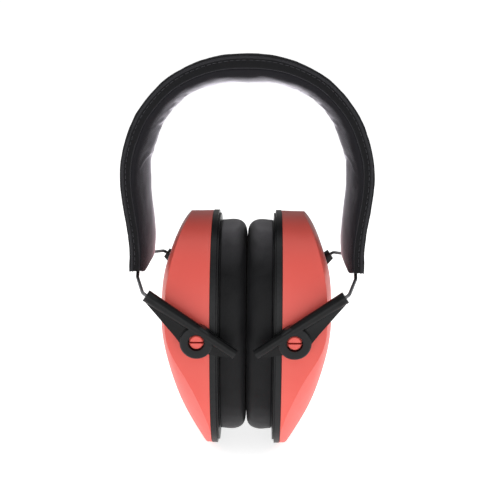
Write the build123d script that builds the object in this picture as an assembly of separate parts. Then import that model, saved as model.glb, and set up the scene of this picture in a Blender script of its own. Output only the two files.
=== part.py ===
from build123d import *
import math
import os

# Folding earmuff hearing protector, in millimetres, closed: cushions together and the wire
# legs fully home in their clips.
# Frame: +X to the right as seen from the front, +Y to the rear, +Z up. Left pieces lie at -X.
# The geometry is set out from the tilt axis of the cups, midway between them, and is lifted
# on export so that the cups stand on z = 0.

os.makedirs("parts", exist_ok=True)

# ---------------------------------------------------------------- driving dimensions
HALF_GAP = 0.05              # half of the gap between the two cushions

# Cup outline, in the YZ plane
CUP_HALF_WIDTH = 38.0
CUP_TOP = 49.45
CUP_BOTTOM = -61.2           # before the foot flat is cut
FOOT_Z = -60.44              # small flat the cup stands on
RIM_X = 15.8                 # shell edge, distance from the middle plane
INNER_START_X = 12.5         # where solids that fit inside the shell start
SHELL_WALL = 2.4
FIT = 0.35                   # clearance between the shell and the base plate's spigot

# Ear opening and cushion outline
HOLE_HALF_WIDTH = 17.5
HOLE_TOP = 24.5
HOLE_BOTTOM = -33.5
CUSHION_HALF_WIDTH = 33.5
CUSHION_TOP = 45.4
CUSHION_BOTTOM = -54.9

# Roundness exponents of the outlines; 2 is an ellipse and more is squarer
CUP_ROUND = 2.35
DOME_ROUND = 2.08
DOME_ROUND_TOP = 2.75        # upper half of the domed face
CUSHION_ROUND = 2.3
HOLE_ROUND = 2.2

# Tilt pivot, wire and hinge
PIVOT_X = 21.05
WIRE_R = 0.75
CHANNEL_R = 0.80
LEG_Y = 41.5
LEG_IN = 42.0                # length of wire leg inside its sleeve
HINGE_X, HINGE_Z = -48.4, 27.4
SIDES = (-1, 1)              # front, rear


# ---------------------------------------------------------------- shape helpers
def oval_face(x, half_width, top, bottom, exponent=CUP_ROUND, narrowing=0.0, top_exponent=None):
    """Superellipse at x; narrowing draws in the lower half, top_exponent shapes the upper."""
    point_count = 24
    centre_z, half_height = (top + bottom) / 2, (top - bottom) / 2
    points = []
    for i in range(point_count):
        turn = 2 * math.pi * i / point_count
        cosine, sine = math.cos(turn), math.sin(turn)
        power = 2 / (top_exponent if top_exponent and sine > 1e-9 else exponent)
        y = half_width * math.copysign(abs(cosine) ** power, cosine)
        rise = math.copysign(abs(sine) ** power, sine)
        if rise < 0:
            y *= 1 - narrowing * abs(rise) ** 1.3
        points.append(Vector(x, y, centre_z + half_height * rise))
    return make_face(Spline(*points, periodic=True))


def oval_slab(x0, x1, half_width, top, bottom, exponent=CUP_ROUND):
    face = oval_face(x0, half_width, top, bottom, exponent)
    return extrude(face, amount=abs(x1 - x0), dir=(1 if x1 > x0 else -1, 0, 0))


def cup_slab(x0, x1, side, top, bottom):
    """Slab of the cup outline, drawn in by the given insets."""
    return oval_slab(x0, x1, CUP_HALF_WIDTH - side, CUP_TOP - top, CUP_BOTTOM + bottom)


def cushion_slab(x0, x1, inset):
    return oval_slab(x0, x1, CUSHION_HALF_WIDTH - inset, CUSHION_TOP - inset,
                     CUSHION_BOTTOM + inset, CUSHION_ROUND)


def hole_slab(x0, x1, grow):
    """Slab of the ear opening, enlarged all round by grow."""
    return oval_slab(x0, x1, HOLE_HALF_WIDTH + grow, HOLE_TOP + grow, HOLE_BOTTOM - grow,
                     HOLE_ROUND)


def box_between(x0, x1, y0, y1, z0, z1):
    centre = Pos((x0 + x1) / 2, (y0 + y1) / 2, (z0 + z1) / 2)
    return centre * Box(abs(x1 - x0), abs(y1 - y0), abs(z1 - z0))


def y_cylinder(x, z, radius, y0, y1):
    return Pos(x, (y0 + y1) / 2, z) * Rot(90, 0, 0) * Cylinder(radius, abs(y1 - y0))


def pivot_cylinder(side, radius, y0, y1):
    """Cylinder on the tilt axis; y0 and y1 are distances towards the given side."""
    return y_cylinder(-PIVOT_X, 0, radius, side * y0, side * y1)


def flat_foot(shape, z):
    return shape - box_between(-90, 90, -90, 90, z - 60, z)


def soften(shape, operation, edges, size, label):
    """Fillet or chamfer the edges of shape."""
    # Guards against no edge being found or the kernel refusing: the shape then stays sharp.
    try:
        return operation(edges, size)
    except Exception as error:
        print(label, "left sharp:", error)
        return shape


# ---------------------------------------------------------------- cup shell
# Stations of the domed outer face: (distance from middle plane, half width, top, bottom)
DOME = [
    (11.0, 54.0, 64.5, -75.5), (15.0, 50.8, 59.0, -68.8), (20.9, 46.8, 53.0, -60.5),
    (25.7, 44.2, 49.5, -52.2), (29.5, 42.3, 45.1, -44.6), (33.5, 39.4, 36.9, -33.7),
    (36.5, 32.5, 28.3, -22.6), (38.0, 22.0, 18.5, -12.6), (38.6, 12.5, 10.5, -6.0),
]
DOME_NARROWING = 0.42
DOME_X_INSET = 0.9           # shares of the inset applied to the dome, along X
DOME_OUTLINE_INSET = 0.72    # and in its outlines
WALL_END_X = 45.0            # outer end of the side wall's loft, and its taper there
WALL_TAPER_Y = 1.6
WALL_TAPER_Z = 0.6
SHELL_EDGE_R = 0.9
PAD_R = 5.15
BOSS_R = 3.9
SOCKET_R = 2.18


def cup_solid(inset, start_x):
    """Solid cup: a tapered side wall cut off by the dome, drawn in by inset."""
    wall = loft([
        oval_face(-start_x, CUP_HALF_WIDTH - inset, CUP_TOP - inset, CUP_BOTTOM + inset),
        oval_face(-WALL_END_X, CUP_HALF_WIDTH - WALL_TAPER_Y - inset,
                  CUP_TOP - WALL_TAPER_Z - inset, CUP_BOTTOM + WALL_TAPER_Z + inset),
    ])
    draw_in = DOME_OUTLINE_INSET * inset
    body = loft([
        oval_face(-(x - DOME_X_INSET * inset), half_width - draw_in, top - draw_in,
                  bottom + draw_in, DOME_ROUND, DOME_NARROWING, DOME_ROUND_TOP)
        for x, half_width, top, bottom in DOME
    ])
    return flat_foot(wall & body, FOOT_Z + inset)


def is_dome_edge(edge):
    """Long edge where the side wall meets the domed face."""
    box = edge.bounding_box()
    return box.min.X > -39.6 and box.max.X < -16.5 and edge.length > 60


def make_cup_shell():
    outer = cup_solid(0.0, RIM_X)
    outer = soften(outer, fillet, outer.edges().filter_by(is_dome_edge), SHELL_EDGE_R,
                   "cup edge")
    shell = outer - cup_solid(SHELL_WALL, INNER_START_X)
    for side in SIDES:
        # Raised pad the clip turns against, and the socket boss inside the wall
        pad = pivot_cylinder(side, PAD_R, 36.2, 38.4)
        boss = pivot_cylinder(side, BOSS_R, 31.0, 37.0)
        shell = shell + pad + boss
    for side in SIDES:
        shell = shell - pivot_cylinder(side, SOCKET_R, 28.0, 40.0)
    return shell


# ---------------------------------------------------------------- base plate and inner foam
FLANGE_X = RIM_X - 0.18      # outer face of the flange
FLANGE_INNER_X = 13.2
STEP_X = 12.3                # inner face of the step
SPIGOT_X = 19.0              # outer end of the spigot
PLATE_HOLE_GROW = 4.5
BLOCK_INSET = SHELL_WALL + 1.2
SPIGOT_BOSS_CUT_R = 4.6      # cuts round the socket bosses
FOAM_BOSS_CUT_R = 4.4


def make_base_plate(room):
    """Flange with a stepped inner edge, a spigot into the shell and an ear opening."""
    flange = flat_foot(cup_slab(-FLANGE_X, -FLANGE_INNER_X, side=-0.2, top=-0.25, bottom=-0.2),
                       FOOT_Z)
    step = flat_foot(cup_slab(-FLANGE_INNER_X, -STEP_X, side=1.3, top=1.2, bottom=1.3),
                     FOOT_Z + 1.2)
    spigot = (cup_slab(-SPIGOT_X, -FLANGE_X, side=SHELL_WALL + FIT, top=SHELL_WALL + FIT,
                       bottom=SHELL_WALL + 1.1)
              - cup_slab(-19.5, -15.0, side=SHELL_WALL + 2.2, top=SHELL_WALL + 2.2,
                         bottom=SHELL_WALL + 3.0))
    spigot = spigot & room
    for side in SIDES:
        spigot = spigot - pivot_cylinder(side, SPIGOT_BOSS_CUT_R, 26.0, 40.0)
    return flange + step + spigot - hole_slab(-20.0, -10.0, PLATE_HOLE_GROW)


def cut_round_bosses(foam):
    for side in SIDES:
        foam = foam - pivot_cylinder(side, FOAM_BOSS_CUT_R, 27.0, 42.0)
    return foam


def make_acoustic_foam():
    """Foam block in the shell, hollowed on the side towards the ear."""
    block = cup_solid(BLOCK_INSET, INNER_START_X) & box_between(-39, -20.6, -60, 60, -80, 80)
    hollow = oval_slab(-28.0, -18.0, half_width=15.0, top=22.0, bottom=-30.0,
                       exponent=HOLE_ROUND)
    return cut_round_bosses(block - hollow)


def make_ear_screen(room):
    """Foam sheet that closes the ear opening."""
    sheet = cup_slab(-20.4, -18.2, side=SHELL_WALL + 3.4, top=SHELL_WALL + 3.4,
                     bottom=SHELL_WALL + 4.2)
    return cut_round_bosses(sheet & room)


# ---------------------------------------------------------------- cushion
CUSHION_BACK = 12.12         # outer face of the snap ring's flat part
COLLAR_END_X = 16.9
COLLAR_BORE_GROW = 2.8


def cushion_ring(back_x, front_x, inset, edge_r):
    """Ring round the ear opening, its edges on the face nearest the middle plane rounded."""
    ring = cushion_slab(-back_x, -front_x, inset) - hole_slab(-back_x, -front_x, inset)

    def is_front(edge):
        box = edge.bounding_box()
        return abs(edge.center().X + front_x) < 0.05 and abs(box.max.X - box.min.X) < 0.01

    front_edges = [edge for edge in ring.edges() if is_front(edge)]
    return soften(ring, fillet, front_edges, edge_r, "cushion edge")


def make_cushion_skin():
    """Skin wrapped round the foam, open on the face towards the cup."""
    return (cushion_ring(11.1, HALF_GAP, inset=0.0, edge_r=4.6)
            - cushion_ring(11.4, 0.85 + HALF_GAP, inset=0.8, edge_r=3.8))


def make_snap_ring():
    """Flat ring behind the cushion, with a collar that ends in a bead."""
    ring = cushion_slab(-CUSHION_BACK, -11.2, inset=0.5) - hole_slab(-13.0, -10.0, grow=1.2)
    collar = (hole_slab(-COLLAR_END_X, -CUSHION_BACK, grow=4.4)
              - hole_slab(-17.5, -10.0, COLLAR_BORE_GROW))
    bead = (hole_slab(-COLLAR_END_X, -15.95, grow=5.0)
            - hole_slab(-17.5, -15.0, COLLAR_BORE_GROW))
    return ring + collar + bead


# ---------------------------------------------------------------- pivot pins
SHAFT_R = 2.0
SHAFT_INNER_Y = 29.9
BARB_LENGTH = 0.9
PIN_R = 3.0
PIN_END_Y = 42.3
PIN_COLLAR_R = 3.3
TIP_LENGTH = 0.4


def make_pin(side):
    pin = pivot_cylinder(side, SHAFT_R, SHAFT_INNER_Y, 38.6)
    # Barb at the inner end of the shaft, widening outwards
    barb = Cone(bottom_radius=2.3, top_radius=1.7, height=BARB_LENGTH)
    barb_y = side * (SHAFT_INNER_Y + BARB_LENGTH / 2)
    pin = pin + Pos(-PIVOT_X, barb_y, 0) * Rot(90 * side, 0, 0) * barb
    pin = pin + pivot_cylinder(side, PIN_R, 38.55, PIN_END_Y)
    pin = pin + pivot_cylinder(side, PIN_COLLAR_R, 40.42, 41.0)
    tip = Cone(bottom_radius=PIN_R, top_radius=2.6, height=TIP_LENGTH)
    tip_y = side * (PIN_END_Y + TIP_LENGTH / 2)
    pin = pin + Pos(-PIVOT_X, tip_y, 0) * Rot(-90 * side, 0, 0) * tip
    # Level slots through both ends, so that the pin can be sprung into its holes:
    # (from, to, half height)
    for y0, y1, half_height in ((37.0, 43.5, 0.42), (29.0, 32.5, 0.35)):
        pin = pin - box_between(-PIVOT_X - 5, -PIVOT_X + 5, side * y0, side * y1,
                                -half_height, half_height)
    return pin


# ---------------------------------------------------------------- wire clips
MOUTH_X, MOUTH_Z = -42.31, 20.38         # centre of the sleeve's mouth
LEG_DIR_X, LEG_DIR_Z = 0.8247, -0.5656   # along the leg, from mouth to tail
SLEEVE_LENGTH = 45.85
WEB_Y = -39.4
WEB_T = 2.7
HUB_R = 7.2
HUB_OUTER_Y = 43.4
HUB_CHAMFER = 0.5
PIN_BORE_R = 3.15
RECESS_R = 3.6


def on_leg(distance, offset=0.0):
    """(x, z) at a distance along the leg from the mouth, offset upwards across it."""
    return (MOUTH_X + LEG_DIR_X * distance - LEG_DIR_Z * offset,
            MOUTH_Z + LEG_DIR_Z * distance + LEG_DIR_X * offset)


def leg_cone(start, end, start_r, end_r):
    """Round bar on the axis of the front leg, between two distances from the mouth."""
    sections = []
    for distance, radius in ((start, start_r), (end, end_r)):
        x, z = on_leg(distance)
        plane = Plane(origin=(x, -LEG_Y, z), z_dir=(LEG_DIR_X, 0, LEG_DIR_Z), x_dir=(0, 1, 0))
        sections.append((plane * Circle(radius)).face())
    return loft(sections)


def make_front_clip():
    sleeve = leg_cone(0, SLEEVE_LENGTH, 2.7, 2.1)
    # Stiffening lip round the mouth
    sleeve = sleeve + leg_cone(0, 1.6, 2.72, 2.68)
    # Gusset plate under the sleeve, past the hub and on towards the tail: (x, z)
    outline = [
        on_leg(0.4, -2.3), (-31.2, 3.6), (-27.6, -1.2), (-PIVOT_X, -4.0), (-15.4, -5.6),
        (-9.0, -6.7), on_leg(44.8, -1.6), on_leg(44.0), on_leg(2.0),
    ]
    web_face = make_face(Polyline(*[Vector(x, WEB_Y, z) for x, z in outline], close=True))
    web = extrude(web_face, amount=WEB_T, dir=(0, -1, 0))
    clip = sleeve + web + pivot_cylinder(-1, HUB_R, 38.7, HUB_OUTER_Y)
    hub_rim = [edge for edge in clip.edges().filter_by(GeomType.CIRCLE)
               if abs(edge.center().Y + HUB_OUTER_Y) < 0.01 and abs(edge.radius - HUB_R) < 0.01]
    clip = soften(clip, chamfer, hub_rim, HUB_CHAMFER, "hub rim")
    # Seat for the pin, its recess, and the blind channel for the wire leg
    clip = clip - pivot_cylinder(-1, PIN_BORE_R, 37.0, 45.0)
    clip = clip - pivot_cylinder(-1, RECESS_R, 40.25, 45.0)
    return clip - leg_cone(-1.0, LEG_IN + 1.6, CHANNEL_R, CHANNEL_R)


# ---------------------------------------------------------------- wire yoke
def filleted_path(points, radii):
    """Straight wire through the points, with an arc of the given radius at each corner."""
    points = [Vector(*point) for point in points]
    edges, last = [], points[0]
    for before, corner, after, radius in zip(points, points[1:], points[2:], radii):
        to_before = (before - corner).normalized()
        to_after = (after - corner).normalized()
        half_angle = math.acos(max(-1, min(1, to_before.dot(to_after)))) / 2
        tangent = radius / math.tan(half_angle)
        bisector = (to_before + to_after).normalized()
        centre = corner + bisector * (radius / math.sin(half_angle))
        start, end = corner + to_before * tangent, corner + to_after * tangent
        middle = centre + (corner - centre).normalized() * radius
        edges += [Line(last, start), ThreePointArc(start, middle, end)]
        last = end
    edges.append(Line(last, points[-1]))
    return Wire(edges)


def make_yoke():
    """Wire from the end of the front leg, through the hinge, to the end of the rear leg."""
    end_x, end_z = on_leg(LEG_IN)
    corner_x, corner_z = on_leg(-1.7)
    front = [
        (end_x, -LEG_Y, end_z),
        (corner_x, -LEG_Y, corner_z),
        (HINGE_X + 0.25, -25.0, HINGE_Z - 3.2),
        (HINGE_X, -20.0, HINGE_Z),
    ]
    rear = [(x, -y, z) for x, y, z in reversed(front)]
    path = filleted_path(front + rear, radii=[2.2, 3.2, 3.0, 3.0, 3.2, 2.2])
    start = Plane(origin=path @ 0, z_dir=path % 0)
    return sweep((start * Circle(WIRE_R)).face(), path=path)


# ---------------------------------------------------------------- headband
# Outer face of the left half, mirrored to the right, from the crown down: (distance out, z)
BAND_OUTER = [
    (0, 121.0), (14.0, 119.6), (27.2, 114.9), (35.05, 110.0), (42.6, 102.5), (48.85, 93.3),
    (52.25, 84.9), (54.55, 76.4), (55.2, 67.8), (54.65, 59.0), (53.45, 50.3), (52.3, 41.4),
    (51.9, 34.0), (52.1, 25.5),
]
# Whole thickness of the band: (distance along it from the crown, thickness)
BAND_DEPTH = [
    (0, 12.8), (28, 10.8), (48, 9.8), (70, 9.6), (80, 9.1), (90, 8.4), (100, 7.8), (110, 7.5),
    (160, 7.4),
]
BAND_HALF_WIDTH = 25.8
LAYER_HALF_WIDTH = BAND_HALF_WIDTH - 0.85    # cover and lining, between the edge bindings
PAD_HALF_WIDTH = LAYER_HALF_WIDTH - 1.0
STRIP_HALF_WIDTH = 12.0
COVER_T = 1.3
STRIP_T = 0.9
LINING_T = 1.1
STRIP_OUTER = COVER_T + 0.12                 # depths of the strip's faces in the band
STRIP_INNER = STRIP_OUTER + STRIP_T

half_band = Spline(*[Vector(-x, 0, z) for x, z in BAND_OUTER], tangents=[(-1, 0, 0), (0, 0, -1)])
BAND_LENGTH = half_band.length               # crown to foot


def thickness_at(s):
    """Band thickness at s, between stations part linear and part eased."""
    for (s0, depth0), (s1, depth1) in zip(BAND_DEPTH, BAND_DEPTH[1:]):
        if s <= s1:
            t = (s - s0) / (s1 - s0)
            t = t * t * (3 - 2 * t) * 0.35 + t * 0.65
            return depth0 + (depth1 - depth0) * t
    return BAND_DEPTH[-1][1]


def band_normal(s):
    tangent = half_band % (s / BAND_LENGTH)
    return Vector(-tangent.Z, 0, tangent.X)


def on_band(s, depth):
    """Point at s along the left half, depth inside the outer face."""
    return half_band @ (s / BAND_LENGTH) + band_normal(s) * depth


def band_curve(depth_at, end, steps=34):
    """Points at depth_at(s) inside the outer face, over both halves."""
    left = [Vector(0, 0, BAND_OUTER[0][1] - depth_at(0))]
    for i in range(1, steps + 1):
        s = end * i / steps
        left.append(on_band(s, depth_at(s)))
    right = [Vector(-point.X, 0, point.Z) for point in left[1:]]
    return list(reversed(left)) + right


def band_layer(outer_depth, inner_depth, end, y0, y1):
    outer, inner = band_curve(outer_depth, end), band_curve(inner_depth, end)
    face = make_face([Spline(*outer), Line(outer[-1], inner[-1]),
                      Spline(*inner), Line(inner[0], outer[0])])
    return Pos(0, min(y0, y1), 0) * extrude(face, amount=abs(y1 - y0), dir=(0, 1, 0))


def make_cover():
    return band_layer(lambda s: 0.0, lambda s: COVER_T, BAND_LENGTH,
                      -LAYER_HALF_WIDTH, LAYER_HALF_WIDTH)


def make_lining():
    return band_layer(lambda s: thickness_at(s) - LINING_T, thickness_at, BAND_LENGTH,
                      -LAYER_HALF_WIDTH, LAYER_HALF_WIDTH)


def make_foam_pad():
    return band_layer(lambda s: COVER_T + STRIP_T + 0.3,
                      lambda s: thickness_at(s) - LINING_T - 0.1,
                      BAND_LENGTH - 24.0, -PAD_HALF_WIDTH, PAD_HALF_WIDTH)


def make_edge_binding(side):
    return band_layer(lambda s: 0.25, lambda s: 6.1 - 1.4 * min(1.0, s / 60.0),
                      BAND_LENGTH - 0.3, side * (LAYER_HALF_WIDTH + 0.05),
                      side * BAND_HALF_WIDTH)


def make_strip():
    return band_layer(lambda s: STRIP_OUTER, lambda s: STRIP_INNER, BAND_LENGTH - 9.0,
                      -STRIP_HALF_WIDTH, STRIP_HALF_WIDTH)


# ---------------------------------------------------------------- hinge bracket and rivets
PLATE_DEPTH = COVER_T + STRIP_T + 0.17       # plate's outer face, inside the band's
PLATE_T = 1.0
PLATE_WIDTH = 28.0
PLATE_STATIONS = (21.0, 18.0, 15.0, 12.0, 9.6)    # up the band from its foot
CURL_R = 1.75
CURL_HALF_WIDTH = 15.0
RIVET_S = BAND_LENGTH - 15.5
RIVET_Y = 7.0
RIVET_R = 1.5
RIVET_HOLE_R = 1.55
RIVET_HEAD_R = 2.6
RIVET_HEAD_DEPTH = STRIP_INNER + 1.1
RIVET_HEAD_T = 0.8


def make_bracket():
    """Plate against the spring strip, with a neck and a curl round the wire."""
    outer = [on_band(BAND_LENGTH - up, PLATE_DEPTH) for up in PLATE_STATIONS]
    inner = [on_band(BAND_LENGTH - up, PLATE_DEPTH + PLATE_T) for up in PLATE_STATIONS[::-1]]
    plate_face = make_face([Spline(*outer), Line(outer[-1], inner[0]),
                            Spline(*inner), Line(inner[-1], outer[0])])
    neck_face = make_face(Polyline(outer[-1], inner[0], Vector(HINGE_X + 0.8, 0, HINGE_Z + 1.2),
                                   Vector(HINGE_X - 0.9, 0, HINGE_Z + 1.2), close=True))
    plate, neck = [extrude(face, amount=PLATE_WIDTH, dir=(0, 1, 0))
                   for face in (plate_face, neck_face)]
    curl = y_cylinder(HINGE_X, HINGE_Z, CURL_R, -CURL_HALF_WIDTH, CURL_HALF_WIDTH)
    bracket = Pos(0, -PLATE_WIDTH / 2, 0) * (plate + neck) + curl
    return bracket - y_cylinder(HINGE_X, HINGE_Z, CHANNEL_R, -20, 20)


def rivet_rod(y, radius, depth0, depth1):
    origin = on_band(RIVET_S, depth0)
    plane = Plane(origin=(origin.X, y, origin.Z), z_dir=band_normal(RIVET_S))
    return extrude((plane * Circle(radius)).face(), amount=depth1 - depth0)


def make_rivet(y):
    shank = rivet_rod(y, RIVET_R, STRIP_OUTER, RIVET_HEAD_DEPTH)
    return shank + rivet_rod(y, RIVET_HEAD_R, RIVET_HEAD_DEPTH, RIVET_HEAD_DEPTH + RIVET_HEAD_T)


bracket = make_bracket()
strip = make_strip()
for rivet_y in (-RIVET_Y, RIVET_Y):
    hole = rivet_rod(rivet_y, RIVET_HOLE_R, COVER_T - 0.4, STRIP_INNER + 3.0)
    bracket = bracket - hole
    strip = strip - hole - mirror(hole, about=Plane.YZ)

# ---------------------------------------------------------------- pieces and output
room = cup_solid(SHELL_WALL + FIT, INNER_START_X)    # space inside the shell
front_clip = make_front_clip()

# A list is a set of loose solids that share one file.
pieces = {
    "headband_cover": make_cover(),
    "headband_lining": make_lining(),
    "headband_foam_pad": make_foam_pad(),
    "headband_edge_binding_front": make_edge_binding(-1),
    "headband_edge_binding_rear": make_edge_binding(1),
    "headband_spring_strip": strip,
}
left_pieces = {
    "cup_shell": make_cup_shell(),
    "base_plate": make_base_plate(room),
    "acoustic_foam": make_acoustic_foam(),
    "ear_screen_foam": make_ear_screen(room),
    "ear_cushion_skin": make_cushion_skin(),
    "ear_cushion_foam": cushion_ring(11.0, 0.95 + HALF_GAP, inset=0.9, edge_r=3.7),
    "cushion_snap_ring": make_snap_ring(),
    "wire_yoke": make_yoke(),
    "hinge_bracket": bracket,
    "bracket_rivets": [make_rivet(-RIVET_Y), make_rivet(RIVET_Y)],
    "wire_clip_front": front_clip,
    "wire_clip_rear": mirror(front_clip, about=Plane.XZ),
    "pivot_pins": [make_pin(side) for side in SIDES],
}


def place(location, piece):
    if isinstance(piece, list) and not isinstance(piece, ShapeList):
        return [location * solid for solid in piece]
    return location * piece


# The left side is the same front to back, so half a turn about Z gives the right side;
# the turn swaps the front and rear clips.
SWAPPED = {"wire_clip_front": "wire_clip_rear", "wire_clip_rear": "wire_clip_front"}
for name, piece in left_pieces.items():
    pieces[name + "_left"] = piece
    pieces[SWAPPED.get(name, name) + "_right"] = place(Rot(0, 0, 180), piece)

for name, piece in pieces.items():
    shape = place(Pos(0, 0, -FOOT_Z), piece)
    if isinstance(shape, list):
        shape = Compound(children=shape)
    export_step(shape, "parts/" + name + ".step")
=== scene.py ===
# Over-ear headphones: a padded cloth headband over two coral cups with leatherette cushions.
# X runs from the left cup (-X) to the right cup (+X), -Y is the front and +Z is up. Metres.
# The two cushions rest against each other at X = 0.
import bpy
import bmesh
import math
import numpy as np
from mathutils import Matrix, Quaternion, Vector
from mathutils import noise as noise_field


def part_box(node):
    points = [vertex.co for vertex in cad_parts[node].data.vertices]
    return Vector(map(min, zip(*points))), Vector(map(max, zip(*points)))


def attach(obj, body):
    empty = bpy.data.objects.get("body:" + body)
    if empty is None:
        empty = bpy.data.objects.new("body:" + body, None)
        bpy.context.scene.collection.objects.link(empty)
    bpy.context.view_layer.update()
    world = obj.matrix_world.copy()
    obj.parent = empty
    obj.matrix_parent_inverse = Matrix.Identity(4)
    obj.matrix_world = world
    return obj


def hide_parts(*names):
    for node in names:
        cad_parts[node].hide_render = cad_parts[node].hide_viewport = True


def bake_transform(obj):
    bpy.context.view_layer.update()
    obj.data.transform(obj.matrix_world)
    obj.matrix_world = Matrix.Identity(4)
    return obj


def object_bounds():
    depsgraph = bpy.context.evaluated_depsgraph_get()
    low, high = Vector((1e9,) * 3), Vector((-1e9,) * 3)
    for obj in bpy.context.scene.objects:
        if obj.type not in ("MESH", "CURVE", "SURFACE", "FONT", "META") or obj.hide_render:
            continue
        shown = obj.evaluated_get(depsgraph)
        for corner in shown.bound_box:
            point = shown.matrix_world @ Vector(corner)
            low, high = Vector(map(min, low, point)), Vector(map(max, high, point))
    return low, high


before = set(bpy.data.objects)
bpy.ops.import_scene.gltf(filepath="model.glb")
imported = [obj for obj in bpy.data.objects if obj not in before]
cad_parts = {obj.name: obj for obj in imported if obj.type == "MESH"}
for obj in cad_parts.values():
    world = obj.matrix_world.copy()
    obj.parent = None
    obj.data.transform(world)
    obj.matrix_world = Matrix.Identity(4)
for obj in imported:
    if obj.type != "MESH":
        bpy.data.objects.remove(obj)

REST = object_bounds()
MM = 0.001
LIFT = REST[0][2] + 60.44 * MM          # height of the tilt axis of the cups
SIGN = {"left": -1, "right": 1}         # direction of each side along X


# ------------------------------------------------------------------ shader building
class Shader:
    """A material with one Principled BSDF. Arguments are plain values or node sockets."""

    def __init__(self, name):
        self.material = bpy.data.materials.new(name)
        self.material.use_nodes = True
        self.tree = self.material.node_tree
        self.tree.nodes.clear()
        output = self.node("ShaderNodeOutputMaterial")
        self.bsdf = self.node("ShaderNodeBsdfPrincipled")
        self.feed(output.inputs[0], self.bsdf.outputs[0])

    def feed(self, socket, value):
        if isinstance(value, bpy.types.NodeSocket):
            self.tree.links.new(value, socket)
        else:
            socket.default_value = value

    def node(self, kind, inputs=None, **settings):
        made = self.tree.nodes.new(kind)
        for key, value in settings.items():
            setattr(made, key, value)
        for key, value in (inputs or {}).items():
            self.feed(made.inputs[key], value)
        return made

    def finish(self, inputs):
        """Set the inputs of the surface and return the material."""
        for key, value in inputs.items():
            self.feed(self.bsdf.inputs[key], value)
        return self.material

    def coords(self, scale=(1.0, 1.0, 1.0)):
        source = self.node("ShaderNodeTexCoord")
        mapping = self.node("ShaderNodeMapping", {"Scale": scale, "Vector": source.outputs["Object"]})
        return mapping.outputs[0]

    def split(self, vector):
        return self.node("ShaderNodeSeparateXYZ", {"Vector": vector}).outputs

    def noise(self, vector, scale, detail=3.0, roughness=0.5, output=0):
        return self.node("ShaderNodeTexNoise", {
            "Scale": scale, "Detail": detail, "Roughness": roughness, "Vector": vector,
        }).outputs[output]

    def ramp(self, value, *stops):
        """Colour ramp; each stop is (position, (r, g, b))."""
        made = self.node("ShaderNodeValToRGB")
        elements = made.color_ramp.elements
        while len(elements) < len(stops):
            elements.new(0.5)
        for element, (position, color) in zip(elements, stops):
            element.position = position
            element.color = (*color, 1.0)
        self.feed(made.inputs[0], value)
        return made.outputs[0]

    def mask(self, value, *stops):
        """Grey ramp; each stop is (position, level)."""
        return self.ramp(value, *((position, (level,) * 3) for position, level in stops))

    def calc(self, operation, *values, clamp=False):
        made = self.node("ShaderNodeMath", operation=operation, use_clamp=clamp)
        for socket, value in zip(made.inputs, values):
            self.feed(socket, value)
        return made.outputs[0]

    def add(self, first, second):
        return self.calc("ADD", first, second)

    def multiply(self, first, second, clamp=False):
        return self.calc("MULTIPLY", first, second, clamp=clamp)

    def scaled(self, value, gain, offset):
        return self.add(self.multiply(value, gain), offset)

    def mix(self, share, under, over):
        made = self.node("ShaderNodeMix", data_type="RGBA")
        # inputs 6 and 7 and output 2 are the colour sockets
        for index, value in ((0, share), (6, under), (7, over)):
            self.feed(made.inputs[index], (*value, 1.0) if isinstance(value, tuple) else value)
        return made.outputs[2]

    def bump(self, height, strength, distance, normal=None):
        inputs = {"Strength": strength, "Distance": distance, "Height": height}
        if normal is not None:
            inputs["Normal"] = normal
        return self.node("ShaderNodeBump", inputs).outputs[0]

    def rubbed_edges(self):
        """White where the surface turns sharply."""
        geometry = self.node("ShaderNodeNewGeometry")
        return self.mask(geometry.outputs["Pointiness"], (0.45, 0), (0.62, 1))


# ------------------------------------------------------------------ materials
def coral_plastic():
    sh = Shader("coral_moulded_plastic")
    place = sh.coords()
    broad = sh.noise(place, scale=18.0, detail=2.0)
    fine = sh.noise(place, scale=2600.0, detail=2.0, roughness=0.6)
    medium = sh.noise(place, scale=260.0, detail=3.0, roughness=0.6)
    color = sh.ramp(broad, (0.3, (0.735, 0.098, 0.078)), (0.7, (0.775, 0.108, 0.086)))
    scuff = sh.mask(sh.noise(place, scale=90.0, detail=8.0, roughness=0.75), (0.60, 0), (0.78, 1))
    color = sh.mix(sh.multiply(scuff, 0.05), color, over=(0.86, 0.26, 0.21))
    color = sh.mix(sh.multiply(sh.rubbed_edges(), 0.10), color, over=(0.90, 0.30, 0.25))
    roughness = sh.scaled(medium, gain=0.10, offset=0.36)
    roughness = sh.add(roughness, sh.multiply(scuff, 0.06))
    normal = sh.bump(fine, strength=0.22, distance=0.00008)
    normal = sh.bump(medium, strength=0.12, distance=0.0001, normal=normal)
    return sh.finish({
        "Base Color": color,
        "Roughness": roughness,
        "Normal": normal,
        "Specular IOR Level": 0.30,
        "Subsurface Weight": 0.05,
        "Subsurface Radius": (0.004, 0.0012, 0.0008),
        "Subsurface Scale": 1.0,
    })


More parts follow.
